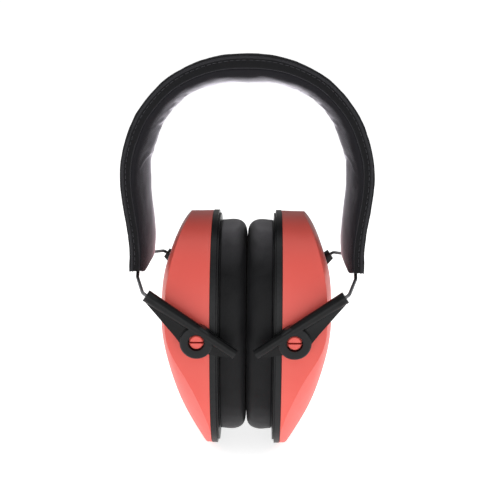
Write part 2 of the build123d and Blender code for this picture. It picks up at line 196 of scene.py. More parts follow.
def black_plastic(name, level, roughness, specular):
    """level is the brightness of the darkest parts."""
    sh = Shader(name)
    place = sh.coords()
    fine = sh.noise(place, scale=3000.0, detail=2.0, roughness=0.6)
    medium = sh.noise(place, scale=300.0, detail=4.0, roughness=0.6)
    dust_and_painted_highlight = sh.mask(sh.noise(place, scale=900.0, detail=6.0, roughness=0.8), (0.66, 0), (0.84, 1))
    color = sh.ramp(sh.noise(place, scale=40.0),
                    (0.3, (level, level * 1.03, level * 1.12)),
                    (0.7, (level * 1.5, level * 1.53, level * 1.65)))
    color = sh.mix(sh.multiply(dust_and_painted_highlight, 0.05), color, over=(0.10, 0.10, 0.11))
    color = sh.mix(sh.multiply(sh.rubbed_edges(), 0.18), color, over=(0.07, 0.075, 0.08))
    roughness = sh.scaled(medium, gain=0.16, offset=roughness)
    normal = sh.bump(fine, strength=0.35, distance=0.00008)
    normal = sh.bump(medium, strength=0.10, distance=0.00012, normal=normal)
    return sh.finish({
        "Base Color": color,
        "Roughness": roughness,
        "Normal": normal,
        "Specular IOR Level": specular,
    })


def steel(name, tint, roughness, stretch=(400.0, 400.0, 400.0)):
    """stretch is the frequency of the drawn or rolled grain along X, Y and Z."""
    sh = Shader(name)
    grain = sh.noise(sh.coords(stretch), scale=3.0, detail=5.0, roughness=0.6)
    stain = sh.noise(sh.coords(), scale=60.0, detail=6.0, roughness=0.7)
    return sh.finish({
        "Base Color": sh.ramp(stain, (0.35, tuple(part * 0.7 for part in tint)), (0.65, tint)),
        "Metallic": 1.0,
        "Roughness": sh.scaled(grain, gain=0.2, offset=roughness),
        "Normal": sh.bump(grain, strength=0.25, distance=0.00005),
    })


def painted_grazing_sheen(sh, fuzz):
    """Mask for a painted sheen: the paler colour and glow that stand in for light caught by
    upstanding fibres where the cloth turns away.
    """
    facing = sh.node("ShaderNodeLayerWeight", {"Blend": 0.5}).outputs["Facing"]
    edge = sh.mask(facing, (0.50, 0), (0.82, 0.60), (0.96, 1))
    edge = sh.multiply(edge, sh.scaled(fuzz, gain=0.6, offset=0.6))
    # the painted sheen is strongest on the side further from the eye, and on faces turned downward
    geometry = sh.node("ShaderNodeNewGeometry").outputs
    position = sh.split(geometry["Position"])
    eye = sh.split(geometry["Incoming"])
    far = sh.scaled(sh.multiply(position[1], eye[1]), gain=-20.0, offset=0.5)
    normal = sh.split(geometry["Normal"])
    down = sh.multiply(normal[2], -1.0, clamp=True)
    far = sh.add(far, sh.multiply(sh.multiply(down, down), 0.60))
    return sh.multiply(edge, sh.mask(far, (0.10, 0), (0.50, 0.22), (0.98, 1.2)))


def woven(name, dark, light, pitch, sheen, sheen_roughness=0.40, strength=0.6, painted_sheen=False):
    """Fine cloth: warp and weft as crossing waves over the UVs, which are in metres."""
    sh = Shader(name)
    along = sh.split(sh.node("ShaderNodeTexCoord").outputs["UV"])
    frequency = 2 * math.pi / pitch
    place = sh.coords()
    wobble = sh.calc("SUBTRACT", sh.noise(place, scale=900.0, detail=2.0), 0.5)
    wobble = sh.multiply(wobble, 2.2)
    warp = sh.calc("SINE", sh.scaled(along[0], gain=frequency, offset=wobble))
    weft = sh.calc("SINE", sh.scaled(along[1], gain=frequency, offset=wobble))
    weave = sh.scaled(sh.multiply(warp, weft), gain=0.5, offset=0.5)
    fuzz = sh.noise(place, scale=3500.0, detail=3.0, roughness=0.7)
    patch = sh.noise(place, scale=55.0, detail=5.0, roughness=0.65)
    height = sh.add(weave, sh.multiply(fuzz, 0.8))
    color = sh.ramp(weave, (0.1, dark), (0.95, light))
    lint = sh.mask(sh.noise(place, scale=1500.0, detail=4.0, roughness=0.8), (0.66, 0), (0.80, 1))
    color = sh.mix(sh.multiply(lint, 0.10), color, over=(0.13, 0.13, 0.145))
    color = sh.mix(sh.multiply(patch, 0.25), color, over=tuple(part * 0.5 for part in dark))
    if painted_sheen:
        # painted sheen: the base colour turns pale and the surface glows faintly where the cloth
        # turns away from the eye
        edge = painted_grazing_sheen(sh, fuzz)
        sh.finish({
            "Emission Color": (0.84, 0.82, 0.90, 1.0),
            "Emission Strength": sh.multiply(edge, 0.30),
        })
        color = sh.mix(sh.multiply(edge, 1.0, clamp=True), color, over=(0.80, 0.78, 0.86))
    roughness = sh.scaled(fuzz, gain=0.12, offset=0.79)
    normal = sh.bump(height, strength=strength, distance=0.00012)
    normal = sh.bump(patch, strength=0.15, distance=0.0006, normal=normal)
    return sh.finish({
        "Base Color": color,
        "Roughness": roughness,
        "Normal": normal,
        "Sheen Weight": sheen,
        "Sheen Roughness": sheen_roughness,
        "Sheen Tint": (0.75, 0.73, 0.85, 1.0),
        "Specular IOR Level": 0.16,
    })


def leatherette(name):
    sh = Shader(name)
    place = sh.coords()
    # grain: cells whose borders are bent a little by noise
    cells = sh.node("ShaderNodeTexVoronoi", {"Scale": 1500.0}, feature="DISTANCE_TO_EDGE")
    warped = sh.node("ShaderNodeVectorMath", operation="ADD")
    drift = sh.noise(place, scale=900.0, detail=2.0, output="Color")
    drift = sh.node("ShaderNodeVectorMath", operation="SCALE",
                    inputs={"Scale": 0.0004, 0: drift}).outputs[0]
    sh.feed(warped.inputs[0], place)
    sh.feed(warped.inputs[1], drift)
    sh.feed(cells.inputs["Vector"], warped.outputs[0])
    grain = sh.mask(cells.outputs["Distance"], (0.0, 0), (0.16, 1))
    crease = sh.noise(place, scale=120.0, detail=6.0, roughness=0.6)
    color = sh.ramp(crease, (0.3, (0.0052, 0.0053, 0.0058)), (0.7, (0.0088, 0.0090, 0.0100)))
    color = sh.mix(sh.multiply(grain, 0.30), color, over=(0.0120, 0.0122, 0.0138))
    # painted highlight: paler colour on the upward-facing side, and a weaker painted reflection on
    # the downward-facing side, broken up by fine specks
    upward = sh.split(sh.node("ShaderNodeNewGeometry").outputs["Normal"])[2]
    dust_and_painted_highlight = sh.mask(upward, (0.42, 0), (0.70, 0.18), (0.88, 0.62), (0.98, 1.4))
    painted_low_reflection = sh.mask(sh.multiply(upward, -1.0), (0.38, 0), (0.95, 0.30))
    dust_and_painted_highlight = sh.add(dust_and_painted_highlight, painted_low_reflection)
    speck = sh.noise(place, scale=1400.0, detail=4.0, roughness=0.7)
    speck = sh.scaled(speck, gain=0.5, offset=0.7)
    # mix in the painted highlight and painted reflection
    color = sh.mix(sh.multiply(dust_and_painted_highlight, speck, clamp=True), color, over=(0.165, 0.160, 0.172))
    roughness = sh.scaled(crease, gain=0.22, offset=0.36)
    normal = sh.bump(grain, strength=0.22, distance=0.00010)
    normal = sh.bump(crease, strength=0.20, distance=0.0006, normal=normal)
    return sh.finish({
        "Base Color": color,
        "Roughness": roughness,
        "Normal": normal,
        "Specular IOR Level": 0.13,
        "Sheen Weight": 0.02,
    })


def foam(name, dark, light, scale=900.0):
    sh = Shader(name)
    voronoi = sh.node("ShaderNodeTexVoronoi", {"Scale": scale, "Vector": sh.coords()})
    cells = sh.mask(voronoi.outputs["Distance"], (0.1, 0), (0.6, 1))
    return sh.finish({
        "Base Color": sh.mix(cells, dark, light),
        "Roughness": 0.95,
        "Normal": sh.bump(cells, strength=0.9, distance=0.0006),
        "Sheen Weight": 0.1,
    })


CORAL = coral_plastic()
BLACK = black_plastic("black_moulded_plastic", level=0.0020, roughness=0.22, specular=0.18)
BLACK_SOFT = black_plastic("black_base_plate_plastic", level=0.0052, roughness=0.30, specular=0.20)
WIRE = steel("drawn_spring_wire", tint=(0.20, 0.20, 0.21), roughness=0.30)
STRIP = steel("rolled_spring_steel", tint=(0.42, 0.43, 0.45), roughness=0.28,
              stretch=(60.0, 2000.0, 60.0))
PLATED = steel("plated_bracket_steel", tint=(0.62, 0.61, 0.58), roughness=0.32,
               stretch=(120.0, 900.0, 120.0))
COVER = woven("black_band_fabric", dark=(0.0045, 0.0045, 0.0050), light=(0.017, 0.017, 0.019),
              pitch=0.75 * MM, sheen=0.10)
# the lining carries the painted grazing sheen and emission glow
LINING = woven("black_lining_fabric", dark=(0.0065, 0.0063, 0.0078), light=(0.023, 0.022, 0.027),
               pitch=0.60 * MM, sheen=0.14, sheen_roughness=0.30, painted_sheen=True)
BINDING = woven("black_edge_tape", dark=(0.012, 0.012, 0.013), light=(0.050, 0.050, 0.056),
                pitch=0.55 * MM, sheen=0.20, strength=0.8)
THREAD = woven("black_sewing_thread", dark=(0.020, 0.020, 0.022), light=(0.085, 0.085, 0.094),
               pitch=0.30 * MM, sheen=0.16)
SKIN = leatherette("black_leatherette")
FOAM_BLACK = foam("black_open_cell_foam", dark=(0.006, 0.006, 0.007), light=(0.035, 0.035, 0.038))
FOAM_GREY = foam("grey_acoustic_foam", dark=(0.03, 0.03, 0.033), light=(0.16, 0.16, 0.17),
                 scale=700.0)

# frame pieces that come once per side
SIDE_PIECES = (
    ("cup_shell_", CORAL),
    ("pivot_pins_", CORAL),
    ("base_plate_", BLACK_SOFT),
    ("cushion_snap_ring_", BLACK_SOFT),
    ("wire_clip_front_", BLACK),
    ("wire_clip_rear_", BLACK),
    ("wire_yoke_", WIRE),
    ("hinge_bracket_", PLATED),
    ("bracket_rivets_", PLATED),
    ("acoustic_foam_", FOAM_GREY),
    ("ear_screen_foam_", FOAM_BLACK),
    ("ear_cushion_foam_", FOAM_BLACK),
    ("ear_cushion_skin_", SKIN),
)
BAND_PIECES = (
    ("headband_cover", COVER),
    ("headband_lining", COVER),
    ("headband_edge_binding_front", BINDING),
    ("headband_edge_binding_rear", BINDING),
    ("headband_foam_pad", FOAM_BLACK),
    ("headband_spring_strip", STRIP),
)


def paint(name, material):
    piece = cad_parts[name]
    if len(piece.material_slots) == 0:
        piece.data.materials.append(material)
    for slot in piece.material_slots:
        slot.link = "OBJECT"
        slot.material = material


for side in SIGN:
    for prefix, material in SIDE_PIECES:
        paint(prefix + side, material)
for name, material in BAND_PIECES:
    paint(name, material)


# ------------------------------------------------------------------ mesh helpers
def run_length(points):
    """Distance along a line of points, from its first point to each."""
    return np.concatenate([[0], np.cumsum(np.linalg.norm(np.diff(points, axis=0), axis=1))])


def positions(mesh):
    return np.array([vertex.co for vertex in mesh.vertices], float)


def make_object(name, verts, faces, material, uvs):
    """Smooth-shaded mesh with one UV per vertex and its normals facing out."""
    mesh = bpy.data.meshes.new(name)
    mesh.from_pydata([tuple(vertex) for vertex in verts], [], faces)
    mesh.validate()
    layer = mesh.uv_layers.new(name="UVMap")
    corners = np.zeros(len(mesh.loops), int)
    mesh.loops.foreach_get("vertex_index", corners)
    layer.data.foreach_set("uv", np.asarray(uvs, float)[corners].astype(np.float32).ravel())
    mesh.polygons.foreach_set("use_smooth", [True] * len(mesh.polygons))
    mesh.materials.append(material)
    mesh.update()
    piece = bpy.data.objects.new(name, mesh)
    bpy.context.scene.collection.objects.link(piece)
    bm = bmesh.new()
    bm.from_mesh(mesh)
    bmesh.ops.recalc_face_normals(bm, faces=bm.faces)
    bm.to_mesh(mesh)
    bm.free()
    mesh.update()
    return piece


def ring_faces(rings, size, first=0, wrap=False):
    """Quads between closed rings of vertices; wrap joins the last ring to the first."""
    faces = []
    for i in range(rings if wrap else rings - 1):
        here = first + i * size
        after = first + (i + 1) % rings * size
        for j in range(size):
            k = (j + 1) % size
            faces.append((here + j, here + k, after + k, after + j))
    return faces


def ring_cap(ring, size, first=0):
    return tuple(range(first + ring * size, first + (ring + 1) * size))


def tube_points(path, lengths, radius, sides):
    """Vertices and UVs of a round tube; lengths are the U values of the path points."""
    verts, uvs = [], []
    last = len(path) - 1
    for i in range(len(path)):
        along = path[min(i + 1, last)] - path[max(i - 1, 0)]
        along = along / np.linalg.norm(along)
        across = np.cross(along, [0.0, 1.0, 0.0])
        across /= np.linalg.norm(across)
        third = np.cross(along, across)
        for k in range(sides):
            angle = 2 * math.pi * k / sides
            verts.append(path[i] + radius * (math.cos(angle) * across + math.sin(angle) * third))
            uvs.append((lengths[i], angle * radius))
    return verts, uvs


def make_tube(name, path, radius, material, sides):
    verts, uvs = tube_points(path, run_length(path), radius, sides)
    rings = len(path)
    faces = ring_faces(rings, sides)
    faces += [ring_cap(0, sides)[::-1], ring_cap(rings - 1, sides)]
    return make_object(name, verts, faces, material, uvs)


def apply_subdivision(piece):
    modifier = piece.modifiers.new("sub", "SUBSURF")
    modifier.levels = 1
    modifier.render_levels = 1
    depsgraph = bpy.context.evaluated_depsgraph_get()
    mesh = bpy.data.meshes.new_from_object(piece.evaluated_get(depsgraph))
    piece.modifiers.clear()
    piece.data = mesh


def cloth_inflate(piece, pressure, max_travel, pin):
    """Inflate with a cloth simulation, limit the travel of every point and keep the result."""
    frames = 20
    rest = positions(piece.data)
    group = piece.vertex_groups.new(name="pin")
    for i, weight in enumerate(pin):
        if weight > 0.001:
            group.add([i], float(min(1.0, weight)), "REPLACE")
    modifier = piece.modifiers.new("Cloth", "CLOTH")
    cloth = modifier.settings
    cloth.quality = 6
    cloth.mass = 0.15
    cloth.tension_stiffness = 18.0
    cloth.compression_stiffness = 18.0
    cloth.shear_stiffness = 6.0
    cloth.bending_stiffness = 0.6
    cloth.use_pressure = True
    cloth.uniform_pressure_force = pressure
    cloth.effector_weights.gravity = 0.0
    cloth.vertex_group_mass = "pin"
    modifier.collision_settings.use_collision = False
    modifier.point_cache.frame_start = 1
    modifier.point_cache.frame_end = frames
    scene = bpy.context.scene
    for number in range(1, frames + 1):
        scene.frame_set(number)
    evaluated = piece.evaluated_get(bpy.context.evaluated_depsgraph_get())
    moved = positions(evaluated.to_mesh())
    evaluated.to_mesh_clear()
    piece.modifiers.remove(modifier)
    shift = moved - rest
    travel = np.linalg.norm(shift, axis=1, keepdims=True)
    # a point that the simulation lost stays where it was
    lost = ~np.isfinite(travel[:, 0])
    shift[lost] = 0
    travel[lost] = 1
    shift = shift * np.minimum(1.0, max_travel / np.maximum(travel, 1e-9))
    piece.data.vertices.foreach_set("co", (rest + shift).astype(np.float32).ravel())
    piece.vertex_groups.clear()
    piece.data.update()
    scene.frame_set(1)


def displace_soft(piece, amount, scale, seed, mask=None):
    """Very small uneven swell along the normals, as padding shows through cloth."""
    mesh = piece.data
    offset = Vector((seed * 1.7, seed * 2.3, seed * 0.9))
    normals = [vertex.normal.copy() for vertex in mesh.vertices]
    for i, vertex in enumerate(mesh.vertices):
        share = 1.0 if mask is None else mask[i]
        if share <= 0:
            continue
        swell = noise_field.fractal(vertex.co * scale + offset, 0.8, 2.0, 3)
        vertex.co += normals[i] * (swell * amount * share)
    mesh.update()


# ------------------------------------------------------------------ headband line
# outer face of the band from the middle of the top down to the +X end: (x, z above tilt axis), mm
OUTER_LINE = np.array([
    (0, 121.0), (14.0, 119.6), (27.2, 114.9), (35.05, 110.0), (42.6, 102.5),
    (48.85, 93.3), (52.25, 84.9), (54.55, 76.4), (55.2, 67.8), (54.65, 59.0),
    (53.45, 50.3), (52.3, 41.4), (51.9, 34.0), (52.1, 25.5),
]) * MM
LINE_TOP = 0.121            # highest z of the table
LINE_HALF_WIDTH = 0.0552    # greatest x of the table
# thickness of the padded band: (distance from the top along the line, thickness), mm
THICKNESS = np.array([
    (0, 12.8), (28, 10.8), (48, 9.8), (70, 9.6), (80, 9.1),
    (90, 8.4), (100, 7.8), (110, 7.1), (125, 6.6), (160, 6.5),
]) * MM


def clamped_spline(points, start_slope, end_slope, count=1200):
    """Cubic spline by chord length through the points, with given slopes at both ends."""
    knots = run_length(points)
    gap = np.diff(knots)
    size = len(points)
    matrix = np.zeros((size, size))
    right = np.zeros((size, 2))
    matrix[0, 0] = matrix[-1, -1] = 1
    right[0] = start_slope
    right[-1] = end_slope
    for i in range(1, size - 1):
        matrix[i, i - 1] = gap[i]
        matrix[i, i] = 2 * (gap[i - 1] + gap[i])
        matrix[i, i + 1] = gap[i - 1]
        right[i] = 3 * (gap[i] * (points[i] - points[i - 1]) / gap[i - 1]
                        + gap[i - 1] * (points[i + 1] - points[i]) / gap[i])
    slopes = np.linalg.solve(matrix, right)
    x = np.linspace(0, knots[-1], count)
    k = np.clip(np.searchsorted(knots, x, side="right") - 1, 0, size - 2)
    t = (x - knots[k]) / gap[k]
    point_a = 2 * t ** 3 - 3 * t ** 2 + 1
    slope_a = t ** 3 - 2 * t ** 2 + t
    point_b = -2 * t ** 3 + 3 * t ** 2
    slope_b = t ** 3 - t ** 2
    return (point_a[:, None] * points[k] + (slope_a * gap[k])[:, None] * slopes[k]
            + point_b[:, None] * points[k + 1] + (slope_b * gap[k])[:, None] * slopes[k + 1])


# fit the table to the cover of the frame
COVER_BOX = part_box("headband_cover")
OUTER_LINE[:, 0] *= COVER_BOX[1][0] / LINE_HALF_WIDTH
OUTER_LINE[:, 1] += COVER_BOX[1][2] - LINE_TOP
LINE = clamped_spline(OUTER_LINE, np.array([1.0, 0.0]), np.array([0.0, -1.0]))
RUN = run_length(LINE)
LINE_LENGTH = RUN[-1]
BAND_LENGTH = LINE_LENGTH + 0.4 * MM    # cover and lining run straight down past the line's end
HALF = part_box("headband_edge_binding_rear")[1][1] - 0.2 * MM    # half width of the finished band


def on_line(s):
    return np.stack([np.interp(s, RUN, LINE[:, 0]), np.interp(s, RUN, LINE[:, 1])], -1)


def line_and_normal(s):
    """Points (x, z) at distances s along the +X half of the line, and the inward normals there."""
    reach = 0.0015
    along = on_line(s + reach) - on_line(s - reach)
    along /= np.linalg.norm(along, axis=-1, keepdims=True)
    inward = np.stack([along[..., 1], -along[..., 0]], -1)
    inward[s < 1e-6] = (0.0, -1.0)
    return on_line(s), inward


def thickness(s):
    return np.interp(s, THICKNESS[:, 0], THICKNESS[:, 1])


def gusset(s):
    """Height of the flat side wall, down to the seam where the padded lining starts."""
    return np.interp(s, [0, 0.045, 0.09, 0.16], [6.0 * MM, 5.2 * MM, 4.7 * MM, 4.5 * MM])


def line_at_depth(s, y, depth, side):
    """Line that runs along the band at the given y and inward depth."""
    point, inward = line_and_normal(np.minimum(s, LINE_LENGTH))
    beyond = np.maximum(s - LINE_LENGTH, 0)
    return np.stack([SIGN[side] * (point[:, 0] + inward[:, 0] * depth), np.full(len(s), y),
                     point[:, 1] + inward[:, 1] * depth - beyond], -1)


def sweep_band(name, profile, length, stations, material, side):
    """Sweep the closed loop profile(s) of (y, inward depth) from the top down one side."""
    distances = np.linspace(0.0, length, stations)
    verts = []
    for s in distances:
        beyond = max(0.0, s - LINE_LENGTH)
        point, inward = line_and_normal(np.array([min(s, LINE_LENGTH)]))
        loop = profile(s)
        x = point[0, 0] + inward[0, 0] * loop[:, 1]
        z = point[0, 1] + inward[0, 1] * loop[:, 1] - beyond
        verts.append(np.stack([SIGN[side] * x, loop[:, 0], z], -1))
    verts = np.concatenate(verts)
    around = run_length(profile(0.0))
    uvs = np.stack(np.meshgrid(distances, around, indexing="ij"), -1).reshape(-1, 2)
    # open at the top, where the two sides meet
    faces = ring_faces(stations, len(around))
    faces.append(ring_cap(stations - 1, len(around))[::-1])
    return make_object(name, verts, faces, material, uvs)


# ------------------------------------------------------------------ rounded band ends, fitting each piece in place
END_Z = LINE[-1][1]
END_FLAT = 18.6 * MM        # half width of the straight lower edge of the band end
END_ROUND_HEIGHT = 7 * MM
END_ROUND_RISE = 2.0 * MM


def round_end(piece):
    """Round off the two lower corners of the band end, to leave the wire arms room to swing."""
    mesh = piece.data
    co = np.empty(len(mesh.vertices) * 3, np.float32)
    mesh.vertices.foreach_get("co", co)
    co = co.reshape(-1, 3)
    low = np.clip((END_Z + END_ROUND_HEIGHT - co[:, 2]) / END_ROUND_HEIGHT, 0, 1)
    outer = np.clip((np.abs(co[:, 1]) - END_FLAT) / (HALF - END_FLAT), 0, 1)
    co[:, 2] += END_ROUND_RISE * low * outer ** 1.5
    mesh.vertices.foreach_set("co", co.ravel())
    mesh.update()


def fit_to_band(piece, replaced=None):
    if replaced:
        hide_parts(replaced)
    round_end(piece)
    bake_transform(piece)


# ------------------------------------------------------------------ cover and lining
STATIONS = 150              # rings along each half of the cover and the lining
CORNER = 1.5 * MM           # radius of the cover's outer edges
CORNER_TOP = 0.2 * MM
CORNER_LOW = CORNER_TOP + CORNER
CROWN = 0.25 * MM           # drop of the outer face from its middle to its edges


def cover_profile(s):
    """Outer face, rounded edges, side walls, and the inside of the cloth."""
    seam = gusset(s)
    steps = 26
    outer = []
    for i in range(steps + 1):
        y = -HALF + CORNER + 2 * (HALF - CORNER) * i / steps
        outer.append((y, CROWN - CROWN * (1 - (y / HALF) ** 4)))
    edge = []
    for k in range(1, 7):
        angle = math.radians(90 * k / 6)
        edge.append((HALF - CORNER + CORNER * math.sin(angle),
                     CORNER_TOP + CORNER * (1 - math.cos(angle))))
    for k in range(1, 7):
        edge.append((HALF - 0.1 * MM * math.sin(math.pi * k / 6),
                     CORNER_LOW + (seam - CORNER_LOW) * k / 6))
    edge.append((HALF - 0.9 * MM, seam))
    # the inside of the cloth
    wall_y = HALF - 1.0 * MM
    wall_top = 1.4 * MM
    rear_wall = [(wall_y, seam + (wall_top - seam) * k / 5) for k in range(1, 6)]
    inner = [((HALF - 1.8 * MM) * (1 - 2 * i / steps), 1.25 * MM)
             for i in range(0, steps + 1, 2)]
    front_wall = [(-wall_y, wall_top + (seam - wall_top) * k / 5) for k in range(1, 6)]
    mirrored = [(-y, depth) for y, depth in reversed(edge)]
    return np.array(outer + edge + rear_wall + inner + front_wall + mirrored)


def lining_profile(s):
    """Padded lining: crowned towards the head, drawn in at the seams."""
    seam = gusset(s) - 0.1 * MM
    full = thickness(s)
    half = HALF - 0.35 * MM
    steps = 34
    # squareness of the section
    power = float(np.interp(s, [0.0, 0.06, LINE_LENGTH - 0.02, LINE_LENGTH],
                            [2.7, 3.0, 3.6, 4.6]))
    loop = []
    for i in range(steps + 1):
        angle = math.pi * i / steps
        cosine, sine = math.cos(angle), math.sin(angle)
        y = -half * math.copysign(abs(cosine) ** (2 / power), cosine)
        height = abs(sine) ** (2 / power)
        loop.append((y, seam + (full - seam) * height))
    for i in range(1, 12):
        loop.append((half * (1 - 2 * i / 12), seam - 0.15 * MM))
    return np.array(loop)


def make_cover(side):
    cover = sweep_band("headband_cover_cloth_" + side, cover_profile, BAND_LENGTH, STATIONS,
                       COVER, side)
    displace_soft(cover, amount=0.16 * MM, scale=130.0, seed=3.0)
    fit_to_band(cover, "headband_cover")


def make_lining(side):
    lining = sweep_band("headband_padded_lining_" + side, lining_profile, BAND_LENGTH, STATIONS,
                        LINING, side)
    co = positions(lining.data)
    s = np.repeat(np.linspace(0.0, BAND_LENGTH, STATIONS), len(lining_profile(0)))
    point, inward = line_and_normal(np.minimum(s, LINE_LENGTH))
    depth = ((np.abs(co[:, 0]) - point[:, 0]) * inward[:, 0]
             + (co[:, 2] - point[:, 1]) * inward[:, 1])
    # held at the seams, and in the middle where the two sides meet
    pin = np.clip(1.0 - (depth - gusset(s)) / (1.2 * MM), 0, 1)
    pin = np.maximum(pin, (np.abs(co[:, 0]) < 0.0002).astype(float))
    cloth_inflate(lining, pressure=3.0, max_travel=0.0008, pin=pin)
    loose = (np.clip((depth - gusset(s)) / (3 * MM), 0, 1)
             * np.clip(np.abs(co[:, 0]) / 0.004, 0, 1))
    displace_soft(lining, amount=0.35 * MM, scale=90.0, seed=5.0, mask=loose)
    apply_subdivision(lining)
    fit_to_band(lining, "headband_lining")


for side in SIGN:
    make_cover(side)
    make_lining(side)


# ------------------------------------------------------------------ edges, strip and foam
CORD_RADIUS = 0.60 * MM
CORD_DEPTH = 1.65 * MM
ROLL_RADIUS = 0.34 * MM
EDGE_INSET = 0.35 * MM      # of the cord and the seam roll from the side of the band
STITCH_PITCH = 2.6 * MM
STITCH_LENGTH = 1.7 * MM
STITCH_RADIUS = 0.14 * MM
STITCH_DEPTH = 2.85 * MM
STITCH_START = 0.8 * MM
STITCH_ARCH = np.array([-0.10, 0.13, 0.17, 0.13, -0.10]) * MM     # outward, along one stitch


def make_edge_cord(tag, direction, side):
    """Corded edge just inside the outer face."""
    path = line_at_depth(np.linspace(0.0, BAND_LENGTH, 160), direction * (HALF - EDGE_INSET),
                         CORD_DEPTH, side)
    cord = make_tube("headband_edge_cord_%s_%s" % (tag, side), path, CORD_RADIUS, BINDING, sides=10)
    fit_to_band(cord, "headband_edge_binding_" + tag)


def make_seam_roll(tag, direction, side):
    """Thin roll along the seam between side wall and lining."""
    s = np.linspace(0.0, BAND_LENGTH, 160)
    path = line_at_depth(s, direction * (HALF - EDGE_INSET), gusset(s) + 0.02 * MM, side)
    roll = make_tube("headband_seam_roll_%s_%s" % (tag, side), path, ROLL_RADIUS, BINDING, sides=8)
    fit_to_band(roll)


def make_stitching(tag, direction, side):
    """Row of stitches along the side wall."""
    verts, faces, uvs = [], [], []
    rings, sides = len(STITCH_ARCH), 6
    for i in range(int((BAND_LENGTH - 0.002) / STITCH_PITCH)):
        start = STITCH_START + i * STITCH_PITCH
        path = line_at_depth(np.linspace(start, start + STITCH_LENGTH, rings), direction * HALF,
                             STITCH_DEPTH, side)
        path[:, 1] += direction * STITCH_ARCH
        first = len(verts)
        lengths = [start + ring * 0.4 * MM for ring in range(rings)]
        stitch_verts, stitch_uvs = tube_points(path, lengths, STITCH_RADIUS, sides)
        verts += stitch_verts
        uvs += stitch_uvs
        faces += ring_faces(rings, sides, first)
        faces += [ring_cap(0, sides, first), ring_cap(rings - 1, sides, first)]
    stitching = make_object("headband_stitching_%s_%s" % (tag, side), verts, faces, THREAD, uvs)
    fit_to_band(stitching)


def strip_profile(s):
    half, top, low = 12 * MM, 1.45 * MM, 2.3 * MM
    return np.array([(-half, top), (0, top), (half, top), (half, low), (0, low), (-half, low)])


def make_spring_strip(side):
    strip = sweep_band("headband_spring_strip_" + side, strip_profile, LINE_LENGTH - 0.009, 80,
                       STRIP, side)
    for polygon in strip.data.polygons:
        polygon.use_smooth = False
    fit_to_band(strip, "headband_spring_strip")


def foam_profile(s):
    half, top = 23.4 * MM, 2.5 * MM
    low = max(gusset(s), thickness(s) - 1.6 * MM)
    seam = gusset(s) - 0.4 * MM
    return np.array([
        (-half, top), (0, top), (half, top), (half, seam), (half - 3 * MM, low - 1 * MM),
        (half - 9 * MM, low), (0, low), (-half + 9 * MM, low), (-half + 3 * MM, low - 1 * MM),
        (-half, seam),
    ])


def make_foam_pad(side):
    pad = sweep_band("headband_foam_pad_" + side, foam_profile, LINE_LENGTH - 0.024, 80,
                     FOAM_BLACK, side)
    fit_to_band(pad, "headband_foam_pad")


for side in SIGN:
    for tag, direction in (("front", -1), ("rear", 1)):
        make_edge_cord(tag, direction, side)
        make_seam_roll(tag, direction, side)
        make_stitching(tag, direction, side)
    make_spring_strip(side)
    make_foam_pad(side)


# ------------------------------------------------------------------ sewn ends of the band
HEM_ABOVE, HEM_BELOW = 2.2 * MM, 0.55 * MM      # reach above and below the end of the line
HEM_DEPTH, HEM_HALF_DEPTH = 3.0 * MM, 2.1 * MM  # middle and half thickness, inward
HEM_END_ROUND = 1.2 * MM


def make_hem(side):
    """Closed flap between cover and lining, short of the wire arms at both ends."""
    point, inward = line_and_normal(np.array([LINE_LENGTH]))
    point, inward = point[0], inward[0]
    top, low = point[1] + HEM_ABOVE, point[1] - HEM_BELOW
    verts, uvs = [], []
    rings, sides = 41, 20
    for i in range(rings):
        y = END_FLAT * (2 * i / (rings - 1) - 1)
        inset = min(1.0, (END_FLAT - abs(y)) / HEM_END_ROUND)
        shrink = 0.55 + 0.45 * math.sqrt(max(0.0, 1 - (1 - inset) ** 2))
        for k in range(sides):
            angle = 2 * math.pi * k / sides
            cosine = math.copysign(abs(math.cos(angle)) ** 0.75, math.cos(angle))
            sine = math.copysign(abs(math.sin(angle)) ** 0.8, math.sin(angle))
            depth = HEM_DEPTH + HEM_HALF_DEPTH * cosine
            z = (top + low) / 2 + (top - low) / 2 * sine * shrink
            ripple = 0.05 * MM * math.sin(y * 2100.0)
            verts.append((SIGN[side] * (point[0] + inward[0] * depth), y, z + ripple))
            uvs.append((y, angle * 1.6 * MM))
    faces = ring_faces(rings, sides)
    faces += [ring_cap(0, sides), ring_cap(rings - 1, sides)]
    hem = make_object("headband_end_hem_" + side, verts, faces, BINDING, uvs)
    fit_to_band(hem)


for side in SIGN:
    make_hem(side)


# ------------------------------------------------------------------ ear cushions (laid out in mm)
CUSHION_POINTS = 132
CUSHION_BACK = 12.15        # distance of the cup side from the middle plane
CUSHION_INSET = 0.2         # outline inside the box of the frame's cushion
HOLE_HALF_DEPTH = 17.5      # ear opening along Y
HOLE_TOP, HOLE_LOW = 24.5, -33.5    # ends of the ear opening, from the tilt axis
FLAT_FACE = 0.00005         # metres; where the two cushions rest against each other
SECTION_HEIGHT = 11.10      # greatest height in the table
# section from the back outer edge, round the face, to the back inner edge:
# (share of the way from outline to hole, height from the back)
SECTION = (
    (0.004, 0.0), (0.0, 0.5), (0.0, 1.6), (-0.012, 3.2), (-0.018, 5.0), (-0.010, 6.6),
    (0.010, 8.0), (0.050, 9.3), (0.110, 10.3), (0.190, 10.85), (0.300, 11.05), (0.420, 11.10),
    (0.540, 11.10), (0.660, 11.02), (0.770, 10.75), (0.860, 10.2), (0.930, 9.3), (0.975, 8.1),
    (1.000, 6.6), (1.008, 4.8), (1.0, 3.0), (0.98, 1.4), (0.95, 0.4), (0.90, 0.0),
)


def oval(half_depth, top, low, power, angle):
    """Superellipse points (y, z)."""
    cosine, sine = np.cos(angle), np.sin(angle)
    y = half_depth * np.sign(cosine) * np.abs(cosine) ** (2 / power)
    z = (top + low) / 2 + (top - low) / 2 * np.sign(sine) * np.abs(sine) ** (2 / power)
    return np.stack([y, z], -1)


